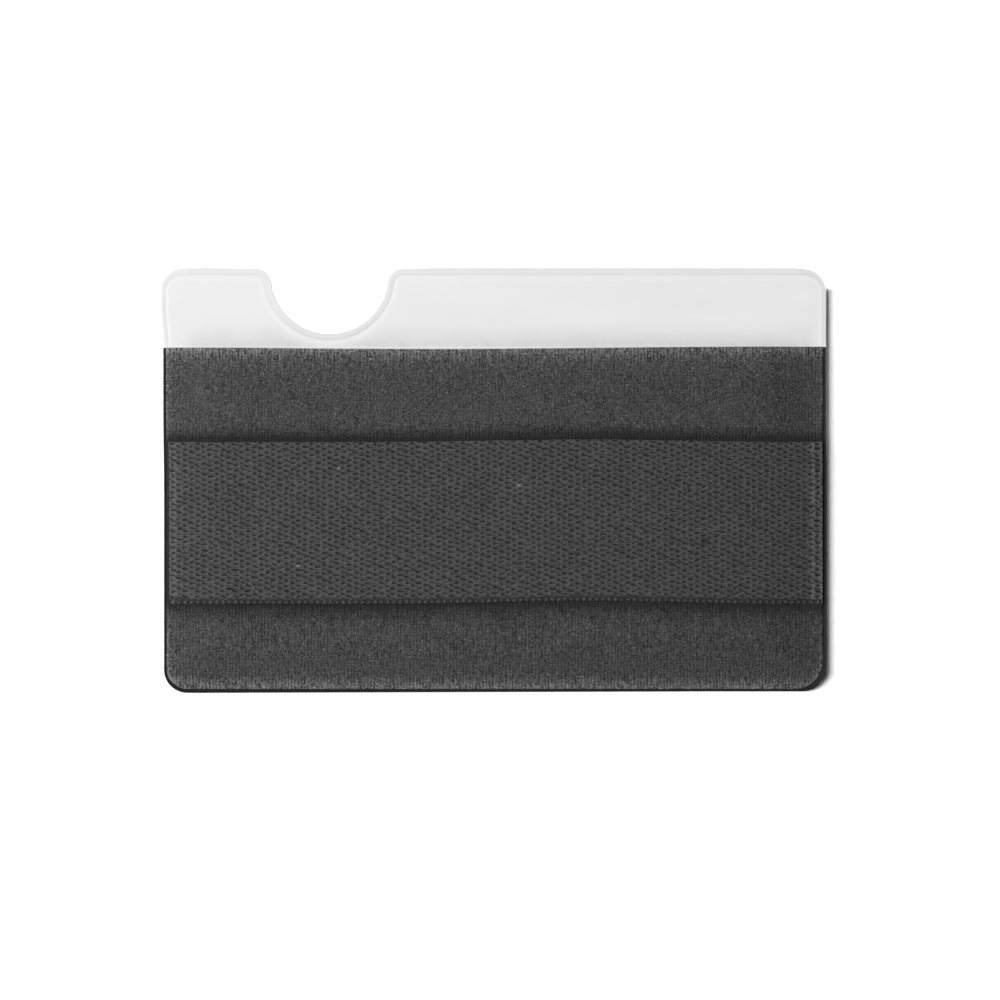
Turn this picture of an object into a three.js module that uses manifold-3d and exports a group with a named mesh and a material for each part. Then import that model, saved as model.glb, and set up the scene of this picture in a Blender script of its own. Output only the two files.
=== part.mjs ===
// Stick on card holder for the back of a phone: a moulded back plate with a thumb notch,
// a knitted pocket fused to it, a woven elastic band across the pocket, and the adhesive pad
// with its release liner behind. It lies on its back. X runs along its long side, Y towards
// the pocket's mouth and Z out of its front. Lengths are in millimetres.
import * as THREE from 'three';
import { mergeVertices } from 'three/addons/utils/BufferGeometryUtils.js';
import Module from 'manifold-3d';

const wasm = await Module();
wasm.setup();

// Driving dimensions of the back plate
const PLATE_WIDTH = 94;
const PLATE_HEIGHT = 60;
const PLATE_THICKNESS = 1.0;
const PLATE_CORNER_RADIUS = 3.3;
const BEAD_WIDTH = 0.8;
const BEAD_HEIGHT = 0.15;

// Thumb notch in the plate's upper edge
const NOTCH_RADIUS = 8.27;
const NOTCH_CENTRE_FROM_LEFT = 23.6;
const NOTCH_DEPTH = 9.2;
const NOTCH_SHOULDER_RADIUS = 2.2;

// Adhesive pad and its release liner
const PAD_MARGIN = 3;
const PAD_BELOW_NOTCH = 2;
const PAD_THICKNESS = 0.2;
const PAD_CORNER_RADIUS = 2;
const LINER_OVERHANG = 0.5;
const LINER_THICKNESS = 0.15;

// Lining sheet behind the pocket
const LINING_THICKNESS = 0.3;
const LINING_BELOW_MOUTH = 0.4;
const BEAD_END_ABOVE_LINING = 0.3;

// Knitted pocket front
const TAB_HEIGHT = 11.06;
const MOUTH_SAG = 0.32;
const MOUTH_SAG_CENTRE = -8;
const MOUTH_SAG_SPREAD = 28;
const FRONT_INSET_LEFT = 0.4;
const FRONT_INSET_RIGHT = 0.55;
const FRONT_INSET_BOTTOM = 0.35;
const FRONT_EXTRA_RADIUS_RIGHT = 1.0;
const FRONT_THICKNESS = 0.6;
const FRONT_FUSED_THICKNESS = 0.35;
const FUSED_WIDTH = 1.2;
const FRONT_RISE_LENGTH = 4.5;
const CARD_THICKNESS = 0.76;
const CARD_PLAY = 0.04;

// Woven elastic band
const BAND_WIDTH = 23;
const BAND_CENTRE_FROM_BOTTOM = 23.87;
const BAND_BOW = 0.45;
const BAND_BOW_CENTRE = 13.5;
const BAND_BOW_SPREAD = 17;
const BAND_INSET_LEFT = 0.36;
const BAND_INSET_RIGHT = 0.1;
const BAND_THICKNESS = 0.8;
const BAND_FUSED_THICKNESS = 0.5;
const BAND_CLEARANCE = 0.3;
const BAND_RIB_PITCH = 0.896;
const BAND_RIB_HEIGHT = 0.1;
const BAND_EDGE_RADIUS = 0.25;
const BAND_FUSED_WIDTH = 0.35;
const BAND_RISE_LENGTH = 0.9;
const BAND_PRESS = 0.75;
const BAND_CREASE_WIDTH = 3.5;

// Fineness of the facets
const ARC_SEGMENTS = 10;
const FRONT_COLUMNS = 26;
const FRONT_ROWS = 22;

// Levels of the stack, from the surface that the liner lies on upwards
const padBase = LINER_THICKNESS;
const plateBase = padBase + PAD_THICKNESS;
const plateTop = plateBase + PLATE_THICKNESS;
const liningTop = plateTop + LINING_THICKNESS;

// Places that follow from the sizes
const plateRight = PLATE_WIDTH / 2;
const plateUpper = PLATE_HEIGHT / 2;
const notchCentre = new THREE.Vector2(
  NOTCH_CENTRE_FROM_LEFT - plateRight,
  plateUpper - NOTCH_DEPTH + NOTCH_RADIUS,
);
const mouthAtSides = plateUpper - TAB_HEIGHT;
const liningUpper = mouthAtSides - MOUTH_SAG - LINING_BELOW_MOUTH;
const frontLeft = -plateRight + FRONT_INSET_LEFT;
const frontRight = plateRight - FRONT_INSET_RIGHT;
const frontLower = -plateUpper + FRONT_INSET_BOTTOM;
const frontRadiusLeft = PLATE_CORNER_RADIUS - FRONT_INSET_LEFT;
const frontRadiusRight = PLATE_CORNER_RADIUS - FRONT_INSET_RIGHT + FRONT_EXTRA_RADIUS_RIGHT;
const bandLeft = frontLeft + BAND_INSET_LEFT;
const bandRight = frontRight - BAND_INSET_RIGHT;
const pocketGap = CARD_THICKNESS + CARD_PLAY;

// A smooth rise from 0 to 1 as t goes from 0 to 1.
function smooth(t) {
  const s = Math.min(Math.max(t, 0), 1);
  return s * s * (3 - 2 * s);
}

// A bell of height 1 around centre.
function bell(x, centre, spread) {
  return Math.exp(-(((x - centre) / spread) ** 2));
}

// Height of the pocket's mouth: level at its two ends, sagging a little between them.
function mouthAt(x) {
  return mouthAtSides - MOUTH_SAG * bell(x, MOUTH_SAG_CENTRE, MOUTH_SAG_SPREAD);
}

// Middle line of the band, which bows a little towards the mouth.
function bandCentreAt(x) {
  return BAND_CENTRE_FROM_BOTTOM - plateUpper + BAND_BOW * bell(x, BAND_BOW_CENTRE, BAND_BOW_SPREAD);
}

// Makes a solid for cutting and joining out of a closed geometry.
function solidOf(geometry) {
  const bare = geometry.clone();
  bare.deleteAttribute('normal');
  bare.deleteAttribute('uv');
  const merged = mergeVertices(bare, 1e-5);
  return new wasm.Manifold(new wasm.Mesh({
    numProp: 3,
    vertProperties: new Float32Array(merged.attributes.position.array),
    triVerts: new Uint32Array(merged.index.array),
  }));
}

// Makes a geometry out of a solid.
function geometryOf(solid) {
  const mesh = solid.getMesh();
  const geometry = new THREE.BufferGeometry();
  geometry.setAttribute('position', new THREE.BufferAttribute(mesh.vertProperties, 3));
  geometry.setIndex(new THREE.BufferAttribute(mesh.triVerts, 1));
  geometry.computeVertexNormals();
  return geometry;
}

// Extrudes a shape upwards from base by height.
function slab(shape, base, height) {
  const geometry = new THREE.ExtrudeGeometry(shape, {
    depth: height,
    bevelEnabled: false,
    curveSegments: ARC_SEGMENTS,
  });
  return geometry.translate(0, 0, base);
}

// A rectangle with rounded corners between two corners.
function roundedRectangle(left, lower, right, upper, radius) {
  const shape = new THREE.Shape();
  shape.absarc(right - radius, lower + radius, radius, -Math.PI / 2, 0);
  shape.absarc(right - radius, upper - radius, radius, 0, Math.PI / 2);
  shape.absarc(left + radius, upper - radius, radius, Math.PI / 2, Math.PI);
  shape.absarc(left + radius, lower + radius, radius, Math.PI, 1.5 * Math.PI);
  return shape;
}

// The plate's outline with its thumb notch, drawn in by inset all round.
function plateOutline(inset) {
  const right = plateRight - inset;
  const upper = plateUpper - inset;
  const corner = PLATE_CORNER_RADIUS - inset;
  const shoulder = NOTCH_SHOULDER_RADIUS - inset;
  const notch = NOTCH_RADIUS + inset;
  const shoulderRise = plateUpper - NOTCH_SHOULDER_RADIUS - notchCentre.y;
  const reach = NOTCH_RADIUS + NOTCH_SHOULDER_RADIUS;
  const shoulderSide = Math.sqrt(reach * reach - shoulderRise * shoulderRise);
  const turn = Math.atan2(shoulderRise, shoulderSide);
  const shoulderY = notchCentre.y + shoulderRise;
  const shape = new THREE.Shape();
  shape.absarc(right - corner, -upper + corner, corner, -Math.PI / 2, 0);
  shape.absarc(right - corner, upper - corner, corner, 0, Math.PI / 2);
  shape.absarc(notchCentre.x + shoulderSide, shoulderY, shoulder, Math.PI / 2, Math.PI + turn);
  shape.absarc(notchCentre.x, notchCentre.y, notch, turn, Math.PI - turn, true);
  shape.absarc(notchCentre.x - shoulderSide, shoulderY, shoulder, -turn, Math.PI / 2);
  shape.absarc(-right + corner, upper - corner, corner, Math.PI / 2, Math.PI);
  shape.absarc(-right + corner, -upper + corner, corner, Math.PI, 1.5 * Math.PI);
  return shape;
}

// The back plate: one moulding, with the bead left standing round its open tab and the notch.
function backPlate() {
  const whole = solidOf(slab(plateOutline(0), plateBase, PLATE_THICKNESS + BEAD_HEIGHT));
  const tabRecess = solidOf(slab(plateOutline(BEAD_WIDTH), plateTop, 2 * BEAD_HEIGHT));
  const beadEnd = liningUpper + BEAD_END_ABOVE_LINING;
  const coveredHeight = beadEnd + PLATE_HEIGHT;
  const covered = new THREE.BoxGeometry(2 * PLATE_WIDTH, coveredHeight, 2 * BEAD_HEIGHT);
  covered.translate(0, beadEnd - coveredHeight / 2, plateTop + BEAD_HEIGHT);
  return geometryOf(whole.subtract(tabRecess).subtract(solidOf(covered)));
}

// The adhesive pad, kept clear of the notch.
function padOutline(overhang) {
  const side = plateRight - PAD_MARGIN + overhang;
  const upper = plateUpper - NOTCH_DEPTH - PAD_BELOW_NOTCH + overhang;
  return roundedRectangle(-side, -plateUpper + PAD_MARGIN - overhang, side, upper, PAD_CORNER_RADIUS);
}

// The lining: as wide as the plate, and cut straight just below the pocket's mouth.
function liningSheet() {
  const shape = new THREE.Shape();
  const radius = PLATE_CORNER_RADIUS;
  shape.absarc(plateRight - radius, -plateUpper + radius, radius, -Math.PI / 2, 0);
  shape.lineTo(plateRight, liningUpper);
  shape.lineTo(-plateRight, liningUpper);
  shape.absarc(-plateRight + radius, -plateUpper + radius, radius, Math.PI, 1.5 * Math.PI);
  return slab(shape, plateTop, LINING_THICKNESS);
}

// Lower edge of the knitted front at x, which turns up round its two lower corners.
function frontLowerAt(x) {
  const intoLeft = frontLeft + frontRadiusLeft - x;
  const intoRight = x - (frontRight - frontRadiusRight);
  if (intoLeft > 0) {
    return frontLower + frontRadiusLeft - Math.sqrt(Math.max(frontRadiusLeft ** 2 - intoLeft ** 2, 0));
  }
  if (intoRight > 0) {
    return frontLower + frontRadiusRight - Math.sqrt(Math.max(frontRadiusRight ** 2 - intoRight ** 2, 0));
  }
  return frontLower;
}

// Distance from the front's fused edges: its two sides, its bottom and its lower corners.
function fromFusedEdge(x, y) {
  const left = x - frontLeft;
  const right = frontRight - x;
  const lower = y - frontLower;
  const radius = left < right ? frontRadiusLeft : frontRadiusRight;
  const side = Math.min(left, right);
  if (side < radius && lower < radius) {
    return radius - Math.hypot(radius - side, radius - lower);
  }
  return Math.min(side, lower);
}

// How hard the band presses on the front: 1 under the band, fading out past its edges.
function bandPressAt(x, y) {
  const past = Math.abs(y - bandCentreAt(x)) - BAND_WIDTH / 2;
  return 1 - smooth(past / BAND_CREASE_WIDTH);
}

// How far the front stands off the lining at a point.
function frontRiseAt(x, y) {
  const edge = smooth((fromFusedEdge(x, y) - FUSED_WIDTH) / FRONT_RISE_LENGTH);
  return pocketGap * edge * (1 - BAND_PRESS * bandPressAt(x, y));
}

// Thickness of the front, which is squeezed thin where it is fused.
function frontThicknessAt(x, y) {
  const edge = smooth((fromFusedEdge(x, y) - FUSED_WIDTH) / FRONT_RISE_LENGTH);
  return FRONT_FUSED_THICKNESS + (FRONT_THICKNESS - FRONT_FUSED_THICKNESS) * edge;
}

// Joins rings of points into one closed geometry, each ring to the next, with flat ends.
function skinOf(rings) {
  const count = rings[0].length;
  const positions = rings.flat().flatMap((point) => [point.x, point.y, point.z]);
  const indices = [];
  for (let ring = 0; ring < rings.length - 1; ring += 1) {
    for (let step = 0; step < count; step += 1) {
      const next = (step + 1) % count;
      const here = ring * count;
      const there = here + count;
      indices.push(here + step, there + next, there + step);
      indices.push(here + step, here + next, there + next);
    }
  }
  const last = (rings.length - 1) * count;
  for (let step = 0; step < count / 2 - 1; step += 1) {
    const opposite = count - 1 - step;
    indices.push(step, opposite - 1, step + 1, step, opposite, opposite - 1);
    indices.push(last + step, last + opposite - 1, last + opposite);
    indices.push(last + step, last + step + 1, last + opposite - 1);
  }
  const geometry = new THREE.BufferGeometry();
  geometry.setAttribute('position', new THREE.BufferAttribute(new Float32Array(positions), 3));
  geometry.setIndex(indices);
  geometry.computeVertexNormals();
  return geometry;
}

// Places along a length from start to end, closer together near both ends.
function spreadStations(start, end, count) {
  const stations = [];
  for (let index = 0; index <= count; index += 1) {
    const t = index / count;
    const eased = t - 0.11 * Math.sin(2 * Math.PI * t);
    stations.push(start + (end - start) * eased);
  }
  return stations;
}

// The knitted front: each ring is a slice at one x, out along the underside and back on top.
function frontSheet() {
  const rings = spreadStations(frontLeft, frontRight, FRONT_COLUMNS).map((x) => {
    const under = spreadStations(frontLowerAt(x), mouthAt(x), FRONT_ROWS)
      .map((y) => new THREE.Vector3(x, y, liningTop + frontRiseAt(x, y)));
    const over = under.map((point) => new THREE.Vector3(
      point.x,
      point.y,
      point.z + frontThicknessAt(point.x, point.y),
    ));
    return [...under, ...over.reverse()];
  });
  return skinOf(rings);
}

// How far a place on the band is from where its nearer end is fused.
function fromBandEnd(x) {
  return Math.min(x - bandLeft, bandRight - x) - BAND_FUSED_WIDTH;
}

// Underside of the band: down on the front where it is fused, clear of it in between.
function bandUnderAt(x) {
  const frontTop = liningTop + frontRiseAt(x, bandCentreAt(x)) + frontThicknessAt(x, bandCentreAt(x));
  return frontTop + BAND_CLEARANCE * smooth(fromBandEnd(x) / BAND_RISE_LENGTH);
}

// Thickness of the band, squeezed thin at its fused ends.
function bandThicknessAt(x) {
  return BAND_FUSED_THICKNESS
    + (BAND_THICKNESS - BAND_FUSED_THICKNESS) * smooth(fromBandEnd(x) / BAND_RISE_LENGTH);
}

// One slice of the band at x, out along the underside and back over its rounded top edges.
function bandSlice(x, ribHeight) {
  const under = bandUnderAt(x);
  const over = under + bandThicknessAt(x) + ribHeight;
  const middle = bandCentreAt(x);
  const half = BAND_WIDTH / 2;
  return [
    new THREE.Vector3(x, middle - half, under),
    new THREE.Vector3(x, middle + half, under),
    new THREE.Vector3(x, middle + half, over - BAND_EDGE_RADIUS),
    new THREE.Vector3(x, middle + half - BAND_EDGE_RADIUS, over),
    new THREE.Vector3(x, middle - half + BAND_EDGE_RADIUS, over),
    new THREE.Vector3(x, middle - half, over - BAND_EDGE_RADIUS),
  ];
}

// The band: a slice on the crest and in the valley of each rib of its weave.
function fingerBand() {
  const ribs = Math.round((bandRight - bandLeft) / BAND_RIB_PITCH);
  const slices = [];
  for (let index = 0; index <= 2 * ribs; index += 1) {
    const x = bandLeft + ((bandRight - bandLeft) * index) / (2 * ribs);
    slices.push(bandSlice(x, index % 2 === 1 ? BAND_RIB_HEIGHT : 0));
  }
  return skinOf(slices);
}

// Milky translucent moulding.
function milkyPlastic() {
  return new THREE.MeshStandardMaterial({ color: 0xeaeaea, roughness: 0.35, metalness: 0 });
}

// Dark lining cloth.
function liningCloth() {
  return new THREE.MeshStandardMaterial({ color: 0x242424, roughness: 0.85, metalness: 0 });
}

// Grey stretch knit.
function stretchKnit() {
  return new THREE.MeshStandardMaterial({ color: 0x464646, roughness: 0.9, metalness: 0 });
}

// Grey woven elastic.
function wovenElastic() {
  return new THREE.MeshStandardMaterial({ color: 0x434343, roughness: 0.85, metalness: 0 });
}

// Clear, slightly milky adhesive.
function adhesive() {
  return new THREE.MeshStandardMaterial({ color: 0xdcdcd6, roughness: 0.5, metalness: 0 });
}

// White coated paper.
function linerPaper() {
  return new THREE.MeshStandardMaterial({ color: 0xf2f2ee, roughness: 0.6, metalness: 0 });
}

// Names a sub-part and gives it its material.
function subPart(name, geometry, material) {
  const mesh = new THREE.Mesh(geometry, material);
  mesh.name = name;
  return mesh;
}

const cardHolder = new THREE.Group();
cardHolder.add(
  subPart('release_liner', slab(padOutline(LINER_OVERHANG), 0, LINER_THICKNESS), linerPaper()),
  subPart('adhesive_pad', slab(padOutline(0), padBase, PAD_THICKNESS), adhesive()),
  subPart('back_plate', backPlate(), milkyPlastic()),
  subPart('pocket_back', liningSheet(), liningCloth()),
  subPart('pocket_front', frontSheet(), stretchKnit()),
  subPart('finger_band', fingerBand(), wovenElastic()),
);

export default cardHolder;
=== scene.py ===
"""Looks of a stick on phone card holder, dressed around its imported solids.

A milky moulded plate carries a dark lining, a grey ribbed stretch knit fused down on three sides as a card
pocket, and a woven elastic band fused down at its two ends. It lies on its back, with its long side along X
and the pocket's mouth towards +Y. Lengths are in metres.
"""

import logging
import math
from dataclasses import dataclass
from enum import Enum

import bpy
import numpy as np
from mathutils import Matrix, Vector


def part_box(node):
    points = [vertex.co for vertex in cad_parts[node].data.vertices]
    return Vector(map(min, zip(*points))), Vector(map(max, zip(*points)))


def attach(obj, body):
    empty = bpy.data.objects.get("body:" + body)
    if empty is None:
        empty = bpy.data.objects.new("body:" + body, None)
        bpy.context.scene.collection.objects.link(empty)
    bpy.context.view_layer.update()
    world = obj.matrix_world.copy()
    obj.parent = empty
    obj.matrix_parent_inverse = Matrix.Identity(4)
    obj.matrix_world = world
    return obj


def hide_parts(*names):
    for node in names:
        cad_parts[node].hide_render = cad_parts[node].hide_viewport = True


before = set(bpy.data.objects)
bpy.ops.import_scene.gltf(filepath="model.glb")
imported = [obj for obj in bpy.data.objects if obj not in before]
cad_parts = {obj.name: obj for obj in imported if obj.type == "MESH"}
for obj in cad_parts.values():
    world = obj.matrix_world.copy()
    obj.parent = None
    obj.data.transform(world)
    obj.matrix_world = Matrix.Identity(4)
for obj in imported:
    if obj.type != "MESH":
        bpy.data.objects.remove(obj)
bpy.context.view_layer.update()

log = logging.getLogger("card_holder")

MM = 0.001
PHOTO_WIDTH_PX = 1000
PHOTO_PX_PER_MM = 7.05
PHOTO_CENTRE_MM = (0.78, -2.84)

# A distance or share that counts as none
NOTHING = 1e-9

# Factors of the cloths' colour at the holder's left and right end: a painted falloff of the light from the
# left
CLOTH_PAINTED_FALLOFF = (1.12, 0.86)

Array = np.ndarray


class Hold(Enum):
    """How a sheet of cloth is held."""

    LAID = "laid"
    STRETCHED = "stretched"


# Curves that several pieces share


def smooth(t: Array | float) -> Array:
    """Rise from 0 to 1 as t goes from 0 to 1: three t squared less two t cubed.

    Args:
        t: Any values; those outside 0 to 1 are held at the ends.

    Returns:
        The risen values.
    """
    s = np.clip(t, 0.0, 1.0)
    return s * s * (3.0 - 2.0 * s)


def bell(x: Array | float, centre: float, spread: float) -> Array:
    """Bell of height 1 around centre: e to minus the square of the distance over the spread."""
    return np.exp(-(((x - centre) / spread) ** 2))


def rounded(distance: Array, radius: float) -> Array:
    """Quarter circle from 0 at an edge to 1 at a radius from it: the root of 1 less (1 - d / r) squared."""
    return np.sqrt(np.clip(1.0 - (1.0 - np.clip(distance / radius, 0.0, 1.0)) ** 2, 0.0, 1.0))


def fall_off(distance: Array, strength: float, reach: float, power: float = 1.0) -> Array:
    """Fall from an edge: the strength times e to minus the distance over the reach, to a power."""
    return strength * np.exp(-((distance / reach) ** power))


def ripples(x: Array, y: Array, wave: float, seed: int, count: int = 14) -> Array:
    """Smooth unevenness: a sum of cosines in all directions, with wavelengths around wave.

    Args:
        x: Places along X.
        y: Places along Y.
        wave: The middle wavelength.
        seed: Picks the directions, wavelengths and starts.
        count: How many cosines are summed.

    Returns:
        Values with a spread of about 1 around 0.
    """
    chance = np.random.default_rng(seed)
    turn = chance.uniform(0.0, math.tau, count)
    lengths = wave * chance.uniform(0.6, 1.7, count)
    starts = chance.uniform(0.0, math.tau, count)
    total = np.zeros(np.broadcast(x, y).shape)
    for angle, length, start in zip(turn, lengths, starts):
        total += np.cos(math.tau * (x * math.cos(angle) + y * math.sin(angle)) / length + start)
    return total * math.sqrt(2.0 / count)


@dataclass(frozen=True)
class HolderForm:
    """Sizes and curves of the holder, in step with its solids."""

    corner_radius: float = 3.3 * MM
    notch_radius: float = 8.27 * MM
    notch_from_left: float = 23.6 * MM
    notch_depth: float = 9.2 * MM
    shoulder_radius: float = 2.2 * MM
    yarn_overhang: float = 0.14 * MM
    mouth_below: float = 0.03 * MM
    mouth_tilt: float = 0.09 * MM
    mouth_sag: float = 0.32 * MM
    mouth_sag_centre: float = -8.0 * MM
    mouth_sag_spread: float = 28.0 * MM
    extra_radius_right: float = 1.0 * MM
    front_thickness: float = 0.6 * MM
    fused_thickness: float = 0.35 * MM
    fused_width: float = 1.2 * MM
    rise_length: float = 8.0 * MM
    pocket_gap: float = 0.8 * MM
    band_width: float = 23.0 * MM
    band_bow: float = 0.45 * MM
    band_bow_centre: float = 13.5 * MM
    band_bow_spread: float = 17.0 * MM
    band_thickness: float = 0.8 * MM
    band_fused_thickness: float = 0.5 * MM
    band_clearance: float = 0.3 * MM
    band_fused_width: float = 0.35 * MM
    band_rise_length: float = 0.9 * MM
    band_press: float = 0.75
    crease_width: float = 3.5 * MM
    lean: float = 0.11 * MM
    lean_top: float = 10.0 * MM
    lean_height: float = 12.0 * MM
    lean_start: float = 10.0 * MM
    lean_length: float = 30.0 * MM
    droop: float = 0.22 * MM
    droop_start: float = 30.0 * MM
    droop_length: float = 77.0 * MM
    droop_top: float = -18.0 * MM
    droop_height: float = 9.0 * MM

    @property
    def plate(self) -> tuple[Vector, Vector]:
        """Lowest and highest corner of the plate."""
        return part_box("back_plate")

    @property
    def lining(self) -> tuple[Vector, Vector]:
        """Lowest and highest corner of the lining."""
        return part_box("pocket_back")

    @property
    def front(self) -> tuple[Vector, Vector]:
        """Lowest and highest corner of the knitted front, which its yarn passes a little at the right."""
        low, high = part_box("pocket_front")
        return low, high + Vector((self.yarn_overhang, 0.0, 0.0))

    @property
    def band(self) -> tuple[Vector, Vector]:
        """Lowest and highest corner of the band, which its yarn passes a little at the right."""
        low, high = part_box("finger_band")
        return low, high + Vector((self.yarn_overhang, 0.0, 0.0))

    @property
    def plate_top(self) -> float:
        """Level of the plate's face, which the lining lies on."""
        return self.lining[0].z

    @property
    def lining_top(self) -> float:
        """Level of the lining's face, which the front is fused to."""
        return self.lining[1].z

    @property
    def notch_centre(self) -> tuple[float, float]:
        """Centre of the thumb notch's circle."""
        low, high = self.plate
        return low.x + self.notch_from_left, high.y - self.notch_depth + self.notch_radius

    @property
    def radius_left(self) -> float:
        """Radius of the front's lower left corner."""
        return self.corner_radius - (self.front[0].x - self.plate[0].x)

    @property
    def radius_right(self) -> float:
        """Radius of the front's lower right corner."""
        return self.corner_radius - (self.plate[1].x - self.front[1].x) + self.extra_radius_right

    @property
    def mouth_low(self) -> float:
        """Height of the mouth where it sags most, leaving out its tilt."""
        return self.front[1].y - self.mouth_sag

    def mouth_at(self, x: Array) -> Array:
        """Height of the pocket's mouth: the front's top less a slight tilt and a bell of sag.

        Args:
            x: Places along X.

        Returns:
            The height at each of them.
        """
        low, high = self.front
        tilt = self.mouth_tilt * (high.x - x) / (high.x - low.x)
        sag = self.mouth_sag * bell(x, self.mouth_sag_centre, self.mouth_sag_spread)
        return high.y - self.mouth_below - tilt - sag

    def lean_at(self, x: Array, y: Array) -> Array:
        """How far the left side is drawn in: not in its tab, and evenly from the band down."""
        down = smooth((self.lean_top - y) / self.lean_height)
        return self.lean * down * (1.0 - smooth((x - self.lean_start) / self.lean_length))

    def droop_at(self, x: Array, y: Array) -> Array:
        """How far the plate's and the lining's lower edge lies below the level: most at the left."""
        leftwards = np.clip((self.droop_start - x) / self.droop_length, 0.0, 1.0)
        return self.droop * leftwards * smooth((self.droop_top - y) / self.droop_height)

    def band_middle_at(self, x: Array) -> Array:
        """Middle line of the band at x: level, with a bell of bow towards the mouth."""
        low = self.band[0].y + self.band_width / 2
        return low + self.band_bow * bell(x, self.band_bow_centre, self.band_bow_spread)

    def lower_at(self, x: Array) -> Array:
        """Lower edge of the front: straight, turning up on a circle round each corner.

        Args:
            x: Places along X.

        Returns:
            The edge's height at each of them.
        """
        low, high = self.front
        left, right = self.radius_left, self.radius_right
        into_left = np.clip(low.x + left - x, 0.0, left)
        into_right = np.clip(x - (high.x - right), 0.0, right)
        rise_left = left - np.sqrt(left**2 - into_left**2)
        rise_right = right - np.sqrt(right**2 - into_right**2)
        return low.y + rise_left + rise_right

    def from_fused_edge(self, x: Array, y: Array) -> Array:
        """Distance to the front's nearest fused edge, measured radially inside the two lower corners.

        Args:
            x: Places along X.
            y: Places along Y.

        Returns:
            The distance from each place.
        """
        low, high = self.front
        left, right, lower = x - low.x, high.x - x, y - low.y
        radius = np.where(left < right, self.radius_left, self.radius_right)
        side = np.minimum(left, right)
        corner = radius - np.hypot(radius - side, radius - lower)
        return np.where((side < radius) & (lower < radius), corner, np.minimum(side, lower))

    def press_at(self, x: Array, y: Array) -> Array:
        """How hard the band presses at a point: 1 under it, fading to 0 past its edges."""
        past = np.abs(y - self.band_middle_at(x)) - self.band_width / 2
        return 1.0 - smooth(past / self.crease_width)

    def swell_at(self, x: Array, y: Array) -> Array:
        """Rise from 0 along the fused edges to 1 in the open pocket."""
        return smooth((self.from_fused_edge(x, y) - self.fused_width) / self.rise_length)

    def front_rise_at(self, x: Array, y: Array) -> Array:
        """Height of the front's underside over the lining."""
        return self.pocket_gap * self.swell_at(x, y) * (1.0 - self.band_press * self.press_at(x, y))

    def front_thickness_at(self, x: Array, y: Array) -> Array:
        """Thickness of the front, thin where it is fused."""
        return self.fused_thickness + (self.front_thickness - self.fused_thickness) * self.swell_at(x, y)

    def band_free_at(self, x: Array) -> Array:
        """How free the band is: a smooth rise from 0 at its fused ends to 1 in between."""
        end = np.minimum(x - self.band[0].x, self.band[1].x - x) - self.band_fused_width
        return smooth(end / self.band_rise_length)

    def band_under_at(self, x: Array) -> Array:
        """Level of the band's underside: on the front at its ends, clear of it in between.

        Args:
            x: Places along X.

        Returns:
            The level at each of them.
        """
        middle = self.band_middle_at(x)
        top = self.lining_top + self.front_rise_at(x, middle) + self.front_thickness_at(x, middle)
        return top + self.band_clearance * self.band_free_at(x)

    def band_thickness_at(self, x: Array) -> Array:
        """Thickness of the band, thin at its fused ends."""
        gain = self.band_thickness - self.band_fused_thickness
        return self.band_fused_thickness + gain * self.band_free_at(x)


# Meshes


def add_mesh(
    name: str, points: Array, faces: list[Array], marks: dict[str, Array] | None = None
) -> bpy.types.Object:
    """Put a surface into the scene.

    Args:
        name: The piece's name.
        points: One row of x, y and z for each vertex.
        faces: Arrays of vertex numbers, each with one row for each face.
        marks: Values for each vertex, by attribute name.

    Returns:
        The new object, at the origin, shaded smooth.
    """
    sizes = np.concatenate([np.full(len(rows), rows.shape[1]) for rows in faces])
    corners = np.concatenate([rows.ravel() for rows in faces]).astype(np.int32)
    starts = np.concatenate([[0], np.cumsum(sizes)[:-1]]).astype(np.int32)
    mesh = bpy.data.meshes.new(name)
    mesh.vertices.add(len(points))
    mesh.vertices.foreach_set("co", np.ascontiguousarray(points, dtype=np.float32).ravel())
    mesh.loops.add(len(corners))
    mesh.loops.foreach_set("vertex_index", corners)
    mesh.polygons.add(len(sizes))
    mesh.polygons.foreach_set("loop_start", starts)
    mesh.polygons.foreach_set("use_smooth", np.ones(len(sizes), dtype=bool))
    mesh.update(calc_edges=True)
    mesh.validate()
    for mark, values in (marks or {}).items():
        layer = mesh.attributes.new(mark, "FLOAT", "POINT")
        layer.data.foreach_set("value", np.ascontiguousarray(values, dtype=np.float32).ravel())
    piece = bpy.data.objects.new(name, mesh)
    bpy.context.scene.collection.objects.link(piece)
    return piece


def grid_faces(rows: int, columns: int, first: int, upwards: bool) -> Array:
    """Four-sided faces of a grid whose columns run along X and whose rows run along Y.

    Args:
        rows: Number of rows of vertices.
        columns: Number of columns of vertices.
        first: Number of the grid's first vertex.
        upwards: True if the faces look up.

    Returns:
        One row of four vertex numbers for each face.
    """
    number = first + np.arange(rows * columns).reshape(rows, columns)
    a, b = number[:-1, :-1], number[:-1, 1:]
    c, d = number[1:, 1:], number[1:, :-1]
    order = (a, b, c, d) if upwards else (a, d, c, b)
    return np.stack([corner.ravel() for corner in order], axis=1)


def rim_faces(fine: Array, coarse: Array, step: int) -> Array:
    """Faces between a fine edge and a coarse one that share their ends.

    Each stretch of the coarse edge is joined to the step stretches of the fine edge that lie over it.

    Args:
        fine: Vertex numbers along the fine edge.
        coarse: Vertex numbers along the coarse edge, one for each step of the fine one.
        step: Fine stretches to one coarse stretch.

    Returns:
        One row of vertex numbers for each face.
    """
    starts = np.arange(0, len(fine) - 1, step)
    along = fine[starts[:, None] + np.arange(step + 1)[None, :]]
    return np.concatenate([coarse[:-1, None], coarse[1:, None], along[:, ::-1]], axis=1)


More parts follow.
